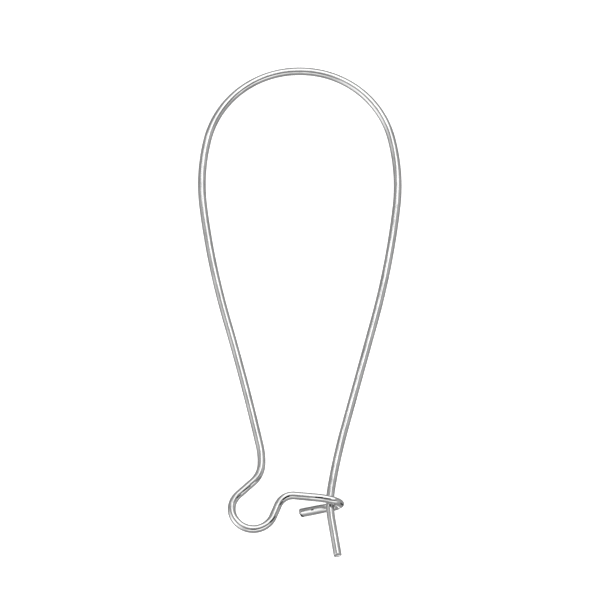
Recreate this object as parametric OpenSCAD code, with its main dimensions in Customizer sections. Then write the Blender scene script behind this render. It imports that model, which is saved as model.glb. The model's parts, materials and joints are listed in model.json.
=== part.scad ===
// Latched kidney ear wire: one length of round wire, bent in a flat plane except where it turns at the catch.
// It lies on its back. +Y runs from the tail up to the crown, and +Z faces the viewer.
// From the crown, one leg runs down the left side to the drop loop and the catch, and the other, the post leg,
// runs down the right side, through the catch and on into the tail.

/* [Wire] */
// Diameter of the round wire
wire_d = 0.64; // [0.5:0.01:0.7]
// Width of the bevel round both cut ends
end_bevel = 0.08; // [0.02:0.01:0.15]

/* [Arch] */
// Bend radius of the crown, to the middle of the wire like every bend radius here
crown_r = 7.38; // [7.26:0.02:7.56]
// Angle that the crown turns on each side of its top
crown_turn = 76.5; // [76:0.1:76.9]
// Bend radius of both shoulders
shoulder_r = 15.9; // [14.3:0.1:17.8]
// Angle that each shoulder turns
shoulder_turn = 20.4; // [20:0.1:20.8]
// Bend radius of the bowed upper part of both legs
flank_r = 65; // [61:1:69]
// Angle that each leg's upper part bows
flank_turn = 8.4; // [7.9:0.1:8.8]

/* [Loop leg] */
// Straight run below the upper part of the leg
leg_run = 0.3; // [0.2:0.1:1]
// Bend radius of the long, hardly bent stretch of the leg
bow_r = 194; // [184:1:204]
// Angle that this stretch turns back
bow_turn = 3; // [2.7:0.1:3.2]
// Bend radius where the leg begins to swing in
calf_r = 5.7; // [4.3:0.1:7.3]
// Angle that it swings there
calf_turn = 14.7; // [13.8:0.1:15.6]
// Bend radius of the elbow above the drop loop
elbow_r = 2.03; // [1.63:0.01:2.43]
// Angle of the elbow
elbow_turn = 45.4; // [44.5:0.1:46.3]

/* [Drop loop] */
// Straight run from the elbow into the loop
neck_run = 1.54; // [1.24:0.01:1.84]
// Bend radius of the first part of the loop
loop_in_r = 1.53; // [1.33:0.01:1.73]
// Angle of the first part of the loop
loop_in_turn = 84.8; // [83.4:0.2:86.2]
// Bend radius of the rest of the loop
loop_r = 1.66; // [1.46:0.01:1.86]
// Angle of the rest of the loop
loop_turn = 120; // [118.6:0.2:121.4]
// Straight run from the loop up to the knee
riser_run = 1.01; // [0.81:0.01:1.31]
// Bend radius of the knee, where the wire turns towards the post leg
knee_r = 1.24; // [1:0.01:1.4]
// Angle of the knee
knee_turn = 72.6; // [71.4:0.1:73.8]

/* [Catch] */
// Bend radius of the front arm's slight droop
droop_r = 7.3; // [6.1:0.1:8.6]
// Angle of the droop
droop_turn = 8.5; // [6.7:0.1:9.3]
// Extra bend radius that keeps the post leg free inside the catch
catch_gap = 0.045; // [0.045:0.005:0.1]
// Angle of each of the three bends that make up the catch
catch_turn = 60; // [58.5:0.5:60.5]
// How far the first of them leans up, towards the crown, from straight behind the front arm
catch_lift = 5.1; // [3.1:0.1:6.5]
// Twist of the wire between two of them, which carries the return arm below the front one
catch_twist = 12; // [10:0.5:13]
// Bend radius of the flare, where the return arm turns back towards the floor
flare_r = 2; // [1.5:0.1:3]
// Angle of the flare
flare_turn = 20; // [15.5:0.5:23.5]
// Straight run of the return arm below the flare, up to its cut end
return_run = 1.84; // [1.04:0.02:2.04]
// How far the post leg stands back from the middle of the catch
leg_slack = 0.08; // [0:0.01:0.1]

/* [Post leg] */
// Bend radius of the post leg just above the catch
lead_r = 49; // [39:1:59]
// Angle of this bend
lead_turn = 5.6; // [4.9:0.1:6.4]
// Bend radius of the kink inside the catch
kink_r = 7.8; // [6.3:0.1:9.3]
// Angle of the kink
kink_turn = 18.9; // [17.9:0.1:19.9]
// Straight run of the tail below the kink
tail_run = 2.94; // [2:0.01:5]

/* [Hidden] */

// A circle of this many sides is drawn round
$fn = 48;
wire_r = wire_d / 2;
// Shortest straight run between two bends
link = 0.06;
// How far a bend reaches into the straight runs beside it, and how much thinner the wire is drawn there
lap = 0.02;
draw_in = 0.004;
catch_r = wire_d + catch_gap;

// Each row of a bend table is one straight run and the bend after it: the length of the run, the roll of the
// wire about itself before it is bent, the angle of the bend and its radius. A bend of 0 is a cut end.
RUN = 0;
ROLL = 1;
TURN = 2;
RADIUS = 3;

arch = [
    [link, 0, crown_turn, crown_r],
    [link, 0, shoulder_turn, shoulder_r],
    [link, 0, flank_turn, flank_r],
];
down_to_arm = [
    [leg_run, 0, -bow_turn, bow_r],
    [link, 0, -calf_turn, calf_r],
    [link, 0, -elbow_turn, elbow_r],
    [neck_run, 0, loop_in_turn, loop_in_r],
    [link, 0, loop_turn, loop_r],
    [riser_run, 0, -knee_turn, knee_r],
];
function to_catch(arm_run) = concat(arch, down_to_arm, [[arm_run, 0, -droop_turn, droop_r]]);
function catch_bends(share) = [
    [link, -90 + catch_lift, catch_turn, catch_r],
    [link, -catch_twist, catch_turn, catch_r],
    [link, -catch_twist, catch_turn * share, catch_r],
];
function to_kink(post_run, share) = concat(arch, [
    [post_run, 0, -lead_turn, lead_r],
    [link, 0, -kink_turn * share, kink_r],
]);

// Frames along the wire. The wire runs along a frame's Z and bends towards its X.
function moved(x, z) = [[1, 0, 0, x], [0, 1, 0, 0], [0, 0, 1, z], [0, 0, 0, 1]];
function rolled(a) = [[cos(a), -sin(a), 0, 0], [sin(a), cos(a), 0, 0], [0, 0, 1, 0], [0, 0, 0, 1]];
function swung(a) = [[cos(a), 0, sin(a), 0], [0, 1, 0, 0], [-sin(a), 0, cos(a), 0], [0, 0, 0, 1]];
function bent(a, radius) = moved(sign(a) * radius, 0) * swung(a) * moved(-sign(a) * radius, 0);
function after(row) = moved(0, row[RUN]) * rolled(row[ROLL]) * bent(row[TURN], row[RADIUS]);
function frames(table, at, i = 0) =
    i == len(table) ? [at] : concat([at], frames(table, at * after(table[i]), i + 1));
function last(list) = list[len(list) - 1];
function place(at) = [at[0][3], at[1][3], at[2][3]];
function heading(at) = [at[0][2], at[1][2], at[2][2]];

// Both sides start at the top of the crown and bend down the arch, one to the left and one to the right
LEFTWARD = [[0, 0, -1, 0], [-1, 0, 0, 0], [0, 1, 0, 0], [0, 0, 0, 1]];
RIGHTWARD = [[0, 0, 1, 0], [-1, 0, 0, 0], [0, -1, 0, 0], [0, 0, 0, 1]];

// The front arm and the post leg are as long as it takes for the kink to lie in the middle of the catch:
// both places are found for no run at all, and the two runs then close the gap between them
arm_dir = heading(last(frames(concat(arch, down_to_arm), LEFTWARD)));
post_dir = heading(last(frames(arch, RIGHTWARD)));
catch_in = last(frames(to_catch(0), LEFTWARD)) * moved(0, link);
catch_out = last(frames(concat(to_catch(0), catch_bends(1)), LEFTWARD));
catch_mid = (place(catch_in) + place(catch_out)) / 2;
kink_mid = place(last(frames(to_kink(0, 0.5), RIGHTWARD)));
gap = catch_mid - kink_mid - [leg_slack, 0, 0];
spread = arm_dir.x * post_dir.y - post_dir.x * arm_dir.y;
post_run = (arm_dir.x * gap.y - arm_dir.y * gap.x) / spread;
arm_run = (post_dir.x * gap.y - post_dir.y * gap.x) / spread;

return_arm = [[link, 0, -flare_turn, flare_r], [return_run, 0, 0, 0]];
loop_side = concat(to_catch(arm_run), catch_bends(1), return_arm);
post_side = concat(to_kink(post_run, 1), [[tail_run, 0, 0, 0]]);

// The loop side leans up from the crown until the return arm, which slopes down from the catch, rests its tip on
// the floor. The post leg leans up less, so that it passes midway between the front arm and the return arm.
function along_last_bend(share) = place(last(frames(concat(to_catch(arm_run), catch_bends(share)), LEFTWARD)));
low_places = [for (share = [0.5:0.1:1]) along_last_bend(share)];
return_end = place(last(frames(loop_side, LEFTWARD)));
loop_lean = max([for (p = concat(low_places, [return_end])) atan2(-p.z, -p.y)]);
catch_at = catch_mid + arm_run * arm_dir;
kink_at = kink_mid + post_run * post_dir;
leg_height = catch_at.z * cos(loop_lean) - catch_at.y * sin(loop_lean);
post_lean = asin(leg_height / -kink_at.y);

// The rim of the tail's bevelled end is the foot of the whole wire
tail_end = last(frames(post_side, RIGHTWARD));
tail_rim = (wire_r - end_bevel) * sqrt(1 - pow(heading(tail_end).y, 2));
foot_y = (place(tail_end).y - tail_rim) * cos(post_lean);
top_y = wire_r;

module straight(run) {
    cylinder(r = wire_r, h = run);
}

module cut_end(run) {
    rotate_extrude()
        polygon([[0, 0], [wire_r, 0], [wire_r, run - end_bevel], [wire_r - end_bevel, run], [0, run]]);
}

module bend(turn, radius) {
    spare = lap / radius * 180 / PI;
    rotate([0, 0, turn < 0 ? 180 : 0])
        translate([radius, 0, 0])
            rotate([90, 0, 180])
                rotate_extrude(angle = abs(turn) + 2 * spare, start = -spare)
                    translate([radius, 0]) circle(wire_r - draw_in);
}

module side(table, start) {
    at = frames(table, start);
    for (i = [0:len(table) - 1]) {
        row = table[i];
        multmatrix(at[i]) {
            if (row[TURN] == 0) {
                cut_end(row[RUN]);
            } else {
                straight(row[RUN]);
                translate([0, 0, row[RUN]]) rotate([0, 0, row[ROLL]]) bend(row[TURN], row[RADIUS]);
            }
        }
    }
}

module ear_wire() {
    color("silver")
        translate([0, -(top_y + foot_y) / 2, wire_r]) {
            rotate([-loop_lean, 0, 0]) side(loop_side, LEFTWARD);
            rotate([-post_lean, 0, 0]) side(post_side, RIGHTWARD);
        }
}

ear_wire();
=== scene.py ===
import json
import math
from collections import namedtuple

import bmesh
import bpy
from mathutils import Matrix, Vector

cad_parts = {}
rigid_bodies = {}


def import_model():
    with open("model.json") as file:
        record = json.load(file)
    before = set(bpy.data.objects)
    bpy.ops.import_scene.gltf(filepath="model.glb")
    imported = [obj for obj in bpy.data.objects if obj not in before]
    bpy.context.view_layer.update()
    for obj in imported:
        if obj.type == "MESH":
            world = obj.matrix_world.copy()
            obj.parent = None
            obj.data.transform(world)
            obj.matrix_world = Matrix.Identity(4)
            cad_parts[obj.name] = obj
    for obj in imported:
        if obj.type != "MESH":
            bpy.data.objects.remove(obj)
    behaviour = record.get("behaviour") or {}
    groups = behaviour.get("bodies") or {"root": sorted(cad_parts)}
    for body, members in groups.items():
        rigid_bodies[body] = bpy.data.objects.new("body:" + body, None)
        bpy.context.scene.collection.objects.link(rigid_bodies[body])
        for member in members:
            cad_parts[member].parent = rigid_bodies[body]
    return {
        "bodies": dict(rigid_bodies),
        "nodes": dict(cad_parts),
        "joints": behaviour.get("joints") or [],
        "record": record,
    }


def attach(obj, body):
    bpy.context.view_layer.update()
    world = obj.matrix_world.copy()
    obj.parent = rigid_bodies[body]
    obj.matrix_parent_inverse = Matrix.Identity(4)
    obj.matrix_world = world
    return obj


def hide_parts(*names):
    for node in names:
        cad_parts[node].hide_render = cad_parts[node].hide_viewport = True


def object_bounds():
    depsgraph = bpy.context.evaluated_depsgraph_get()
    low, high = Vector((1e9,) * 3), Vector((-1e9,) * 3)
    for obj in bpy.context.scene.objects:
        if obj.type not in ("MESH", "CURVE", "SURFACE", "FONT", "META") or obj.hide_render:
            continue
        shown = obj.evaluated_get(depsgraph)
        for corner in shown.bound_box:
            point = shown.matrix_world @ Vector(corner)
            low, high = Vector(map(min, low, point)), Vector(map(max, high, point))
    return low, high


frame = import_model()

cad_low, cad_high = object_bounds()

# The ear wire.
# One length of 22 gauge brass wire, drawn through a die, bent cold round pegs and pliers, then plated and
# tumbled bright. Nothing is soldered: the catch is the wire's own end, and the post leg springs into it.
MM = 0.001                # lengths are written in millimetres, and the scene is in metres
WIRE_RADIUS = 0.32
WIRE_SIDES = 44
BEND_STEP = 0.11          # between two rings of the wire's mesh in a bend
LONGEST_RUN = 0.3         # and in a straight run
LINK = 0.06               # straight wire that always stands between two bends
CATCH_RADIUS = 0.685

# A row is a straight run, the roll of the wire about itself, and the bend after it. These are the CAD's own
# rows, in millimetres and degrees.
Bend = namedtuple("Bend", "run roll turn radius")
ARCH = [
    Bend(LINK, 0, 76.5, 7.38),        # half of the crown
    Bend(LINK, 0, 20.4, 15.9),        # shoulder
    Bend(LINK, 0, 8.4, 65),           # flank
]
LOOP_SIDE = ARCH + [
    Bend(0.3, 0, -3, 194),            # long bow of the leg
    Bend(LINK, 0, -14.7, 5.7),        # calf
    Bend(LINK, 0, -45.4, 2.03),       # elbow
    Bend(1.54, 0, 84.8, 1.53),        # neck, and the way into the drop loop
    Bend(LINK, 0, 120, 1.66),         # round the drop loop
    Bend(1.01, 0, -72.6, 1.24),       # riser and knee
    Bend(1.713, 0, -8.5, 7.3),        # front arm
    Bend(LINK, -84.9, 60, CATCH_RADIUS),
    Bend(LINK, -12, 60, CATCH_RADIUS),
    Bend(LINK, -12, 60, CATCH_RADIUS),
]
FLARE = Bend(LINK, 0, -20, 2)         # down into the return arm
POST_SIDE = ARCH + [
    Bend(9.0067, 0, -5.6, 49),        # post leg, down to the catch
    Bend(LINK, 0, -18.9, 7.8),        # kink inside the catch
]

# The last runs are a little shorter than the CAD's, because the shape of the cut ends makes up the rest
RETURN_RUN = 1.81
TAIL_RUN = 2.92

# How far each side rises from the crown: the return arm rests its tip on the table, and the post leg passes
# midway between the front arm and the return arm
LOOP_LEAN = 3.6143
POST_LEAN = 2.4196

# Both cut ends have a rounded rim. One more ring of the mesh stands before it as a guard, so that the side
# of the wire is shaded straight up to there. The cutter leaves a cup in the tail, slanted towards the front.
RIM_GUARD = 0.12
RIM_STEPS = 4
CUP_STEPS = 6
TAIL_ROUNDING = 0.04
TAIL_CUP = 0.20
TAIL_SLANT = 0.22
RETURN_ROUNDING = 0.12
RETURN_CUP = 0.02

# Along the flare the wire is pressed wider and thinner, and the snips leave one corner of its end sheared
# off. The roll turns the wire's frame until X lies across the arm, and the plane is given in that frame.
PRESS_ROLL = 75.8
PRESS_STEPS = 7
PRESSED_WIDE = 1.12
PRESSED_THIN = 0.96
SHEAR_POINT = Vector((-0.280, 0.030, -0.098))
SHEAR_NORMAL = Vector((-0.629, -0.541, 0.559))
SHEAR_REACH = 0.8         # the plane cuts nothing farther from the end
SHEAR_ROUNDING = 0.008
SHEAR_ROUND_STEPS = 2
SHEARED = 1               # the sheared metal's place among the wire's materials


class OpenEnd:
    """The end of the wire while it is being bent: the last ring of its mesh, and the frame that it lies in.
    The wire runs along the frame's Z and bends towards its X. Lengths are in millimetres. The attribute
    "straight" keeps each vertex's place on the unbent wire: on the ring, and along from the crown."""

    def __init__(self, mesh, ring, frame, side):
        self.mesh, self.ring, self.frame, self.side = mesh, ring, frame, side
        self.straight = mesh.verts.layers.float_vector["straight"]

    def verts(self):
        """The vertices of the ring."""
        return list({v for edge in self.ring for v in edge.verts})

    def push(self, length, width=1.0):
        """Extrudes the ring along the wire, and widens or narrows it."""
        made = bmesh.ops.extrude_edge_only(self.mesh, edges=self.ring)["geom"]
        self.ring = [e for e in made if isinstance(e, bmesh.types.BMEdge) and e.is_boundary]
        shape = Matrix.Translation((0, 0, length * MM)) @ Matrix.Diagonal((width, width, 1, 1))
        bmesh.ops.transform(self.mesh, matrix=self.frame @ shape @ self.frame.inverted(), verts=self.verts())
        self.frame = self.frame @ Matrix.Translation((0, 0, length * MM))
        for v in self.verts():
            v[self.straight].z += self.side * length

    def run(self, length):
        """Makes a straight run in even steps."""
        count = math.ceil(length / LONGEST_RUN)
        for _ in range(count):
            self.push(length / count)

    def bend(self, row):
        """Makes the straight run of a row, rolls the wire and bends it."""
        self.run(row.run)
        self.frame = self.frame @ Matrix.Rotation(math.radians(row.roll), 4, "Z")
        angle, sign = math.radians(row.turn), math.copysign(1, row.turn)
        centre = Matrix.Translation((sign * row.radius * MM, 0, 0))
        before = set(self.mesh.verts)
        steps = math.ceil(abs(angle) * row.radius / BEND_STEP)
        made = bmesh.ops.spin(
            self.mesh, geom=self.ring + self.verts(), cent=(self.frame @ centre).translation,
            axis=self.frame.col[1].to_3d(), angle=angle, steps=steps, use_merge=False,
            use_duplicate=False)["geom_last"]
        self.ring = [e for e in made if isinstance(e, bmesh.types.BMEdge) and e.is_boundary]
        from_centre = (self.frame @ centre).inverted()
        for v in set(self.mesh.verts) - before:
            place = from_centre @ v.co
            v[self.straight].z += self.side * row.radius * math.atan2(place.z, -sign * place.x)
        self.frame = self.frame @ centre @ Matrix.Rotation(angle, 4, "Y") @ centre.inverted()

    def press(self):
        """Presses the ring a little wider and thinner."""
        across = self.frame @ Matrix.Rotation(math.radians(PRESS_ROLL), 4, "Z")
        wide, thin = (size ** (1 / PRESS_STEPS) for size in (PRESSED_WIDE, PRESSED_THIN))
        shape = Matrix.Diagonal((wide, thin, 1, 1))
        bmesh.ops.transform(self.mesh, matrix=across @ shape @ across.inverted(), verts=self.verts())

    def cut(self, run, rounding, cup, slant=0.0):
        """Makes the last straight run and closes it with a rounded rim and a cup, which slant along the
        frame's Y. Gives back the frame at the end."""
        self.run(run - RIM_GUARD - rounding)
        self.push(RIM_GUARD)
        flat = self.frame.copy()
        before = set(self.mesh.verts) - set(self.verts())
        for i in range(RIM_STEPS):
            a, b = (math.radians(90 * k / RIM_STEPS) for k in (i, i + 1))
            radius = [WIRE_RADIUS - rounding * (1 - math.cos(t)) for t in (a, b)]
            self.push(rounding * (math.sin(b) - math.sin(a)), radius[1] / radius[0])
        for i in range(CUP_STEPS):
            a, b = (math.radians(90 * k / (CUP_STEPS + 1)) for k in (i, i + 1))
            self.push(-cup * (math.sin(b) - math.sin(a)), math.cos(b) / math.cos(a))
        bmesh.ops.pointmerge(self.mesh, verts=self.verts(), merge_co=self.frame.translation)
        lean = Matrix.Identity(4)
        lean[2][1] = slant
        new = [v for v in self.mesh.verts if v not in before]
        bmesh.ops.transform(self.mesh, matrix=flat @ lean @ flat.inverted(), verts=new)
        return flat @ Matrix.Translation((0, 0, rounding * MM))

    def shear(self, end):
        """Takes a corner off the end that lies in this frame."""
        end = end @ Matrix.Rotation(math.radians(PRESS_ROLL), 4, "Z")
        reach = SHEAR_REACH * MM
        near = [f for f in self.mesh.faces if (f.calc_center_median() - end.translation).length < reach]
        parts = list({p for f in near for p in (*f.verts, *f.edges)}) + near
        made = bmesh.ops.bisect_plane(self.mesh, geom=parts, plane_co=end @ (SHEAR_POINT * MM),
                                      plane_no=end.to_3x3() @ SHEAR_NORMAL, clear_outer=True)["geom_cut"]
        rim = [e for e in made if isinstance(e, bmesh.types.BMEdge)]
        for face in bmesh.ops.contextual_create(self.mesh, geom=rim)["faces"]:
            face.material_index = SHEARED
        bmesh.ops.bevel(self.mesh, geom=rim, offset=SHEAR_ROUNDING * MM, offset_type="OFFSET",
                        segments=SHEAR_ROUND_STEPS, profile=0.5, affect="EDGES", material=-1)


def side_of_crown(columns, lean):
    """The frame at the top of the crown, for a side that rises by lean degrees from the table."""
    top = Matrix.Translation((0, cad_high.y - WIRE_RADIUS * MM, cad_low.z + WIRE_RADIUS * MM))
    return top @ Matrix.Rotation(math.radians(-lean), 4, "X") @ Matrix(columns).transposed().to_4x4()


def bent_wire():
    """Bends the wire both ways from one ring at the top of the crown: to the return arm, and to the tail."""
    mesh = bmesh.new()
    straight = mesh.verts.layers.float_vector.new("straight")
    leftward = side_of_crown(((0, -1, 0), (0, 0, 1), (-1, 0, 0)), LOOP_LEAN)
    rightward = side_of_crown(((0, -1, 0), (0, 0, -1), (1, 0, 0)), POST_LEAN)
    circle = bmesh.ops.create_circle(mesh, segments=WIRE_SIDES, radius=WIRE_RADIUS * MM, matrix=leftward)
    for v in circle["verts"]:
        v[straight] = (leftward.inverted() @ v.co) / MM
    ring = list(mesh.edges)

    loop_end = OpenEnd(mesh, ring, leftward, 1)
    for row in LOOP_SIDE:
        loop_end.bend(row)
    loop_end.run(FLARE.run)
    for _ in range(PRESS_STEPS):
        loop_end.bend(Bend(0, 0, FLARE.turn / PRESS_STEPS, FLARE.radius))
        loop_end.press()
    loop_end.shear(loop_end.cut(RETURN_RUN, RETURN_ROUNDING, RETURN_CUP))

    tail_end = OpenEnd(mesh, ring, rightward, -1)
    for row in POST_SIDE:
        tail_end.bend(row)
    tail_end.cut(TAIL_RUN, TAIL_ROUNDING, TAIL_CUP, TAIL_SLANT)

    bmesh.ops.recalc_face_normals(mesh, faces=mesh.faces)
    return mesh


def as_piece(name, mesh):
    """Puts a finished mesh in the scene, at the origin and smooth."""
    data = bpy.data.meshes.new(name)
    mesh.to_mesh(data)
    mesh.free()
    data.shade_smooth()
    piece = bpy.data.objects.new(name, data)
    bpy.context.scene.collection.objects.link(piece)
    return piece


class Wired:
    """A socket of a node tree, so that shader maths can be written as plain expressions."""

    def __init__(self, tree, socket=None):
        self.tree, self.socket = tree, socket

    def node(self, kind, settings=(), output=0, **inputs):
        """Adds any other node: its type, its settings, then the values or links of its sockets.
        An input is named by its socket, with _ for a space, or by in0, in1 and so on for its place."""
        node = self.tree.nodes.new(kind)
        for key, value in dict(settings).items():
            setattr(node, key, value)
        for key, value in inputs.items():
            socket = node.inputs[int(key[2:]) if key[2:].isdigit() else key.replace("_", " ")]
            if isinstance(value, Wired):
                self.tree.links.new(value.socket, socket)
            else:
                socket.default_value = value
        return Wired(self.tree, node.outputs[output] if node.outputs else None)

    def maths(self, operation, *values):
        inputs = {f"in{i}": value for i, value in enumerate(values)}
        return self.node("ShaderNodeMath", {"operation": operation}, **inputs)

    def dot(self, vector):
        return self.node("ShaderNodeVectorMath", {"operation": "DOT_PRODUCT"}, "Value", in0=self, in1=vector)

    def __add__(self, other):
        return self.maths("ADD", self, other)

    def __sub__(self, other):
        return self.maths("SUBTRACT", self, other)

    def __rsub__(self, other):
        return self.maths("SUBTRACT", other, self)

    def __mul__(self, other):
        return self.maths("MULTIPLY", self, other)

    def __truediv__(self, other):
        return self.maths("DIVIDE", self, other)

    def __pow__(self, other):
        return self.maths("POWER", self, other)

    def __abs__(self):
        return self.maths("ABSOLUTE", self)

    __radd__, __rmul__ = __add__, __mul__


def bare_nodes(owner):
    """Empties the node tree of a material or of the world, ready for its first node."""
    owner.use_nodes = True
    owner.node_tree.nodes.clear()
    return Wired(owner.node_tree)


def faded(value, half, soft):
    """1 inside a half width and 0 outside it, with a soft edge."""
    return value.node("ShaderNodeMapRange", {"interpolation_type": "SMOOTHSTEP"}, Value=value,
                      From_Min=half - soft, From_Max=half + soft, To_Min=1.0, To_Max=0.0)


# Dark lines: painted reflections of the stand's dark arm, painted shade in and under the catch, and one
# nick.
# Each goes from one distance along the wire and one angle around it to another. Distances are in mm from
# the crown, and less than nothing on the post leg.
ShadeOrNick = namedtuple("ShadeOrNick", "start end around_start around_end half_width darkness")
PAINTED_SHADE_AND_NICKS = (
    ShadeOrNick(50.42, 51.02, 104, 99, 0.052, 1.0),      # front arm: painted reflection of the stand's dark arm
    ShadeOrNick(51.08, 51.66, 102, 94, 0.045, 0.8),
    ShadeOrNick(47.74, 48.40, 113, 106, 0.058, 1.0),     # knee, painted reflection likewise
    ShadeOrNick(47.20, 47.66, 122, 129, 0.055, 0.8),
    ShadeOrNick(45.62, 46.24, 108, 124, 0.048, 0.8),     # riser, painted reflection likewise
    ShadeOrNick(44.06, 44.50, 105, 109, 0.042, 0.6),     # foot of the drop loop, painted reflection likewise
    ShadeOrNick(40.28, 40.76, 57, 63, 0.045, 0.9),       # neck, painted reflection likewise
    ShadeOrNick(39.24, 40.00, 60, 71, 0.040, 0.75),
    ShadeOrNick(38.22, 38.76, 40, 58, 0.040, 0.7),
    ShadeOrNick(-40.48, -40.30, 92, 92, 0.075, 1.0),     # post leg: painted shade where it passes between the catch's arms
    ShadeOrNick(-40.68, -40.52, 88, 88, 0.065, 1.0),
    ShadeOrNick(52.26, 52.58, 111, 113, 0.055, 1.0),     # outside of the catch, painted shade
    ShadeOrNick(55.24, 55.44, -109, -109, 0.045, 1.0),   # nick in the return arm
    ShadeOrNick(54.20, 56.30, -68, -68, 0.040, 0.50),    # its upper edge, painted shade under the front arm
)
DARK_LINE_FADE = 0.06          # soft length at each end of a dark line
DARK_LINE_SOFTNESS = 0.35      # soft share of its half width


def shade_or_nick_at(place, shade_or_nick):
    """How much of one dark line is on a place of the straight wire."""
    middle, length = (shade_or_nick.start + shade_or_nick.end) / 2, shade_or_nick.end - shade_or_nick.start
    around = math.radians((shade_or_nick.around_start + shade_or_nick.around_end) / 2)
    slope = WIRE_RADIUS * math.radians(shade_or_nick.around_end - shade_or_nick.around_start) / length
    along = place.dot((0, 0, 1)) - middle
    across = place.dot((-math.sin(around), math.cos(around), 0)) - along * slope
    this_side = place.maths("GREATER_THAN", place.dot((math.cos(around), math.sin(around), 0)), 0.0)
    lengthwise = faded(abs(along), length / 2, DARK_LINE_FADE)
    crosswise = faded(abs(across), shade_or_nick.half_width, DARK_LINE_SOFTNESS * shade_or_nick.half_width)
    return lengthwise * crosswise * this_side * shade_or_nick.darkness


# The die draws fine lines along the wire, and tumbling and wear cloud them. A grain is how long its noise is
# across and along the wire, in mm, and where it starts.
Grain = namedtuple("Grain", "across along start")
DIE_LINES = Grain(0.05, 4.0, 3.1)
STREAKS = Grain(0.16, 0.9, 7.7)
WEAR = Grain(0.7, 1.6, 1.9)
GRAIN_DETAIL = 3.0
GRAIN_ROUGHNESS = 0.6

BRIGHT_PLATE = (0.76, 0.76, 0.76, 1)
DULL_PLATE = (0.36, 0.36, 0.36, 1)
# Near black: the painted shade and painted reflections of the dark lines, and the one nick
NICK_AND_PAINTED_SHADE = (0.015, 0.015, 0.015, 1)
STREAK_DULLNESS = 0.7
WEAR_DULLNESS = 0.6
DULLNESS_POWER = 2.0
RELIEF = 0.008            # in mm, and the heights and the depth are shares of it
RELIEF_STRENGTH = 0.7
DIE_LINE_HEIGHT = 0.6
STREAK_HEIGHT = 0.8
SHADE_AND_NICK_DEPTH = 0.5
BRIGHT_ROUGHNESS = 0.05
DIE_LINE_ROUGHNESS = 0.06
DULL_ROUGHNESS = 0.08


def plated_wire():
    """Bright plating over drawn wire, with lines of painted shade and painted reflection, and one nick."""
    material = bpy.data.materials.new("plated_wire")
    place = bare_nodes(material).node("ShaderNodeAttribute", {"attribute_name": "straight"}, "Vector")

    def noise(grain):
        """Noise drawn out along the straight wire."""
        spread = place.node("ShaderNodeMapping", Vector=place, Location=(grain.start, 0, 0),
                            Scale=(1 / grain.across, 1 / grain.across, 1 / grain.along))
        return place.node("ShaderNodeTexNoise", {"normalize": True}, Vector=spread, Scale=1.0,
                          Detail=GRAIN_DETAIL, Roughness=GRAIN_ROUGHNESS)

    def blend(amount, under, over):
        """One colour over another. These sockets are the Mix node's colour ones."""
        return place.node("ShaderNodeMix", {"data_type": "RGBA"}, 2, in0=amount, in6=under, in7=over)

    die_lines = noise(DIE_LINES)
    streaks = noise(STREAKS)
    wear = noise(WEAR)
    dullness = (streaks * STREAK_DULLNESS + wear * WEAR_DULLNESS) ** DULLNESS_POWER
    shade_and_nicks = shade_or_nick_at(place, PAINTED_SHADE_AND_NICKS[0])
    for shade_or_nick in PAINTED_SHADE_AND_NICKS[1:]:
        shade_and_nicks = shade_and_nicks + shade_or_nick_at(place, shade_or_nick)
    # The dark lines paint shade and reflections onto the plating, and darken the nick
    colour = blend(shade_and_nicks, blend(dullness, BRIGHT_PLATE, DULL_PLATE), NICK_AND_PAINTED_SHADE)
    height = die_lines * DIE_LINE_HEIGHT + streaks * STREAK_HEIGHT - shade_and_nicks * SHADE_AND_NICK_DEPTH
    relief = place.node("ShaderNodeBump", Strength=RELIEF_STRENGTH, Distance=RELIEF * MM, Height=height)
    roughness = BRIGHT_ROUGHNESS + die_lines * DIE_LINE_ROUGHNESS + dullness * DULL_ROUGHNESS
    skin = place.node("ShaderNodeBsdfPrincipled", Base_Color=colour, Metallic=1.0, Roughness=roughness,
                      Normal=relief)
    skin.node("ShaderNodeOutputMaterial", Surface=skin)
    return material


# Painted shade: the sheared face is near black and matt, with no reflection of its own
SHEARED_END_SHADE = (0.03, 0.03, 0.03, 1)
SHEARED_ROUGHNESS = 0.9


def shaded_sheared_end():
    """The sheared corner, painted near black and matt as the shade at the cut end."""
    material = bpy.data.materials.new("shaded_sheared_end")
    skin = bare_nodes(material).node("ShaderNodeBsdfPrincipled", Base_Color=SHEARED_END_SHADE,
                                     Roughness=SHEARED_ROUGHNESS, Specular_IOR_Level=0.0)
    skin.node("ShaderNodeOutputMaterial", Surface=skin)
    return material


wire = as_piece("bent_wire", bent_wire())
wire.data.materials.append(plated_wire())
wire.data.materials.append(shaded_sheared_end())
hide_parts("ear_wire")
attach(wire, "root")

# The camera.
# A long lens half a metre away, on the side of the tail and 75 degrees above the table, as in the
# photograph. It is turned a third of a degree about its own line of sight.
CAMERA_AIM = Vector((-0.0361, 0.9645, 0.32)) * MM
CAMERA_ELEVATION = 75
CAMERA_ROLL = 0.3281
CAMERA_DISTANCE = 500 * MM
CLIP_NEAR = 0.01
CLIP_FAR = 10
PICTURE_PIXELS = 600
PIXELS_PER_MM = 12.78
SENSOR_WIDTH = 36

lens = bpy.data.cameras.new("camera")
lens.sensor_width = SENSOR_WIDTH
lens.lens = SENSOR_WIDTH * CAMERA_DISTANCE / (PICTURE_PIXELS / PIXELS_PER_MM * MM)
lens.clip_start = CLIP_NEAR
lens.clip_end = CLIP_FAR
camera = bpy.data.objects.new("camera", lens)
tilt = Matrix.Rotation(math.radians(90 - CAMERA_ELEVATION), 4, "X")
roll = Matrix.Rotation(math.radians(-CAMERA_ROLL), 4, "Z")
away = Matrix.Translation((0, 0, CAMERA_DISTANCE))
camera.matrix_world = Matrix.Translation(CAMERA_AIM) @ tilt @ roll @ away
bpy.context.scene.collection.objects.link(camera)
bpy.context.scene.camera = camera
bpy.context.scene.view_settings.view_transform = "Standard"

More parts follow.
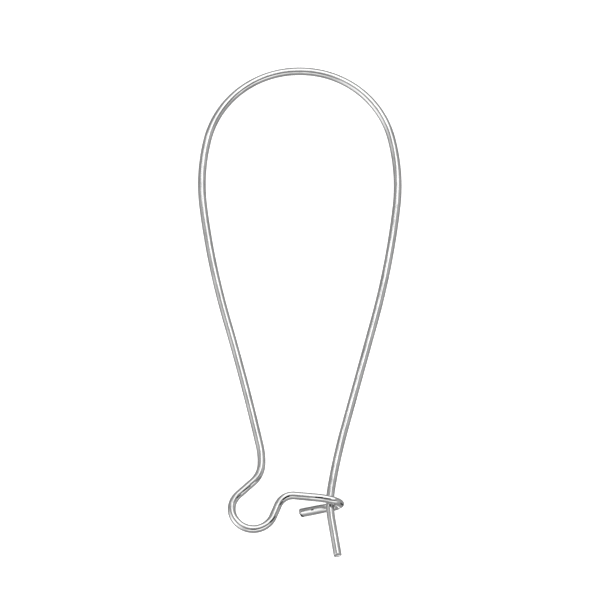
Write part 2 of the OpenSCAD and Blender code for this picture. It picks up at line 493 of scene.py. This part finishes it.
# The table and the light tent.
# A white acrylic table, lit a little from below, stands in a tent of white cloth, and soft boxes shine
# through the cloth. A pale card round the lens and the dark arm of the camera's stand show in the wire too.
# Sizes are in metres.
TABLE_HALF = 0.9
TABLE_WHITE = (0.9, 0.9, 0.9, 1)
TABLE_GLOW = 0.7
TENT_RADIUS = 1.2
TENT_SUBDIVISIONS = 4
TENT_GLOW = 1.0

# How bright the cloth and the table look from the wire. A depth is how far down a direction points, from 0
# for level to 1 for straight down. The table blends into the cloth up to one depth, and brightens past the
# other.
CLOTH_SEEN = 0.458
TABLE_SEEN = 0.415
BLEND_DEPTH = 0.30
BELOW_DEPTH = 0.892
BELOW_SEEN = 2.19

# Where each soft box stands, in degrees round from +X and down from straight above, and its size as the
# tangent of its half angle. The first hangs behind the crown, the second is low on the left and the third in
# front. Two lamps and a faint box add to them.
SoftBox = namedtuple("SoftBox", "azimuth zenith half_width half_height soft_width soft_height brightness")
SOFT_BOXES = (
    SoftBox(79.8, 47.5, 0.498, 0.426, 0.109, 0.250, 1.56),
    SoftBox(204.7, 65.5, 0.135, 0.639, 0.954, 0.075, 2.40),
    SoftBox(287.9, 47.6, 0.637, 0.121, 0.243, 0.258, 2.06),
    SoftBox(132.7, 36.1, 0.038, 0.123, 0.031, 0.080, 2.40),
    SoftBox(66.6, 21.2, 0.148, 0.099, 0.057, 0.035, 1.85),
    SoftBox(-5.6, 59.9, 0.516, 0.442, 0.237, 0.211, 0.21),
)

# The pale card and the dark arm, seen from the wire: each starts beside the lens, and ends this far right
# and up from there. A darkness below nothing is light.
Strip = namedtuple("Strip", "right up half_width softness darkness")
BESIDE_LENS = (-0.121, 0.011)
STRIPS = (
    Strip(-0.096, 0.108, 0.194, 0.125, -0.64),
    Strip(1.45, 0.218, 0.181, 0.031, 0.562),
)
AHEAD = 0.02              # a box or a strip shows only in directions at least this much towards it


def staged(name, mesh, glow, white=None):
    """A piece of the studio, which shines by itself. Given a colour, it takes the room's light too."""
    piece = as_piece(name, mesh)
    material = bpy.data.materials.new(name)
    skin = bare_nodes(material).node("ShaderNodeEmission", Strength=glow)
    if white:
        matt = skin.node("ShaderNodeBsdfDiffuse", Color=white)
        skin = skin.node("ShaderNodeAddShader", in0=skin, in1=matt)
    skin.node("ShaderNodeOutputMaterial", Surface=skin)
    piece.data.materials.append(material)
    return piece


def soft_box(way, box):
    """How bright a soft box is along a direction."""
    azimuth, zenith = math.radians(box.azimuth), math.radians(box.zenith)
    level = math.sin(zenith)
    centre = Vector((math.cos(azimuth) * level, math.sin(azimuth) * level, math.cos(zenith)))
    across = Vector((-math.sin(azimuth), math.cos(azimuth), 0))
    ahead = way.dot(centre)
    width = faded(abs(way.dot(across)) / ahead, box.half_width, box.soft_width)
    height = faded(abs(way.dot(centre.cross(across))) / ahead, box.half_height, box.soft_height)
    return width * height * way.maths("GREATER_THAN", ahead, AHEAD) * box.brightness


def past_strip(way, strip):
    """How much of the light along a direction passes the card or the stand arm."""
    rightward, upward, forward = (tilt.col[i].to_3d() for i in range(3))
    ahead = way.dot(forward)
    right = way.dot(rightward) / ahead - BESIDE_LENS[0]
    up = way.dot(upward) / ahead - BESIDE_LENS[1]
    length = math.hypot(strip.right, strip.up)
    along = way.node("ShaderNodeClamp", Value=(right * strip.right + up * strip.up) * (1 / length ** 2))
    gap = ((right - along * strip.right) ** 2.0 + (up - along * strip.up) ** 2.0) ** 0.5
    covered = faded(gap, strip.half_width, strip.softness) * way.maths("GREATER_THAN", ahead, AHEAD)
    return 1 - covered * strip.darkness


def light_tent():
    """The world's light, by direction: the table, the cloth, the soft boxes, the card and the arm."""
    world = bpy.data.worlds.new("tent_light")
    bpy.context.scene.world = world
    way = bare_nodes(world).node("ShaderNodeTexCoord", output="Generated")
    height = way.node("ShaderNodeSeparateXYZ", output="Z", Vector=way)
    beside = faded(abs(height), BLEND_DEPTH / 2, BLEND_DEPTH / 2)
    below_middle = (1 + BELOW_DEPTH) / 2
    below = 1 - faded(abs(height), below_middle, below_middle - BELOW_DEPTH)
    table_seen = TABLE_SEEN + beside * (CLOTH_SEEN - TABLE_SEEN) + below * BELOW_SEEN
    above = way.maths("GREATER_THAN", height, 0.0)
    light = table_seen + above * (CLOTH_SEEN - table_seen)
    for box in SOFT_BOXES:
        light = light + soft_box(way, box)
    for strip in STRIPS:
        light = light * past_strip(way, strip)
    glow = way.node("ShaderNodeBackground", Color=(1, 1, 1, 1), Strength=light)
    glow.node("ShaderNodeOutputWorld", Surface=glow)


table_mesh = bmesh.new()
bmesh.ops.create_grid(table_mesh, x_segments=1, y_segments=1, size=TABLE_HALF,
                      matrix=Matrix.Translation((0, 0, cad_low.z)))
table = staged("table", table_mesh, TABLE_GLOW, TABLE_WHITE)
tent_mesh = bmesh.new()
bmesh.ops.create_icosphere(tent_mesh, subdivisions=TENT_SUBDIVISIONS, radius=TENT_RADIUS)
tent = staged("tent", tent_mesh, TENT_GLOW)

# The wire mirrors the world's light, so neither piece shows in it, and the tent lets that light in
table.visible_glossy = False
tent.visible_diffuse = tent.visible_glossy = tent.visible_transmission = tent.visible_shadow = False
light_tent()
